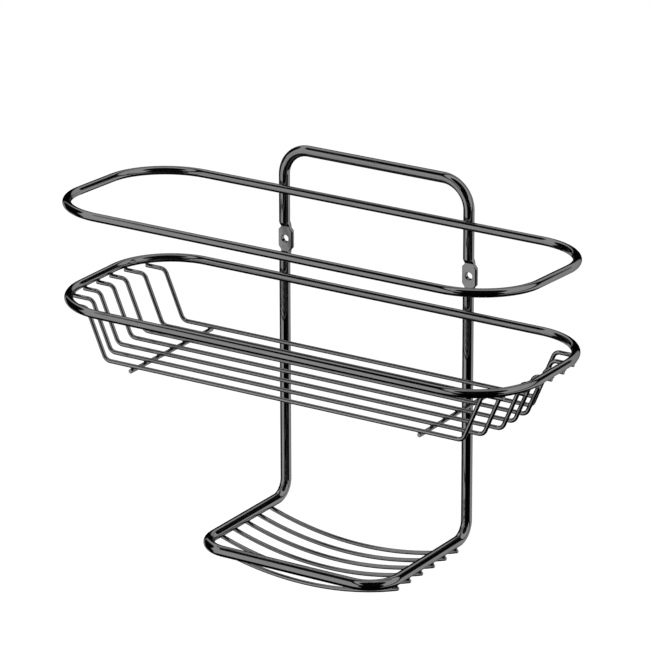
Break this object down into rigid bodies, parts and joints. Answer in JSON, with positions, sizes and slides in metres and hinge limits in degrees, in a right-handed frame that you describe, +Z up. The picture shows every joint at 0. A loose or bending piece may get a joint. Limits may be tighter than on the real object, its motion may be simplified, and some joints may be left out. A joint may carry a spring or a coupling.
{
  "type": "shower caddy",
  "caption": "Wall-hung chromed wire caddy: open basket with a guard rail above it and a dished soap tray below, on one bent frame with two screw eyelets.",
  "frame": {"origin": "on the wall plane, midway between the two screw holes", "axes": "+X to the right for someone facing the caddy, -Y out of the wall towards them, +Z up; the wall is the plane y = 0"},
  "size_m": [0.304, 0.1204, 0.23],
  "materials": {
    "chrome": "polished chrome plate on steel wire"
  },
  "bodies": {
    "root": {"frame": "chrome", "guard_rail": "chrome", "basket_rim": "chrome", "basket_wire_1": "chrome", "basket_wire_2": "chrome", "basket_wire_3": "chrome", "basket_wire_4": "chrome", "basket_wire_5": "chrome", "basket_wire_6": "chrome", "basket_wire_7": "chrome", "cross_wire_left": "chrome", "cross_wire_right": "chrome", "tray_wire_1": "chrome", "tray_wire_2": "chrome", "tray_wire_3": "chrome", "tray_wire_4": "chrome", "tray_wire_5": "chrome", "tray_wire_6": "chrome"}
  },
  "joints": []
}
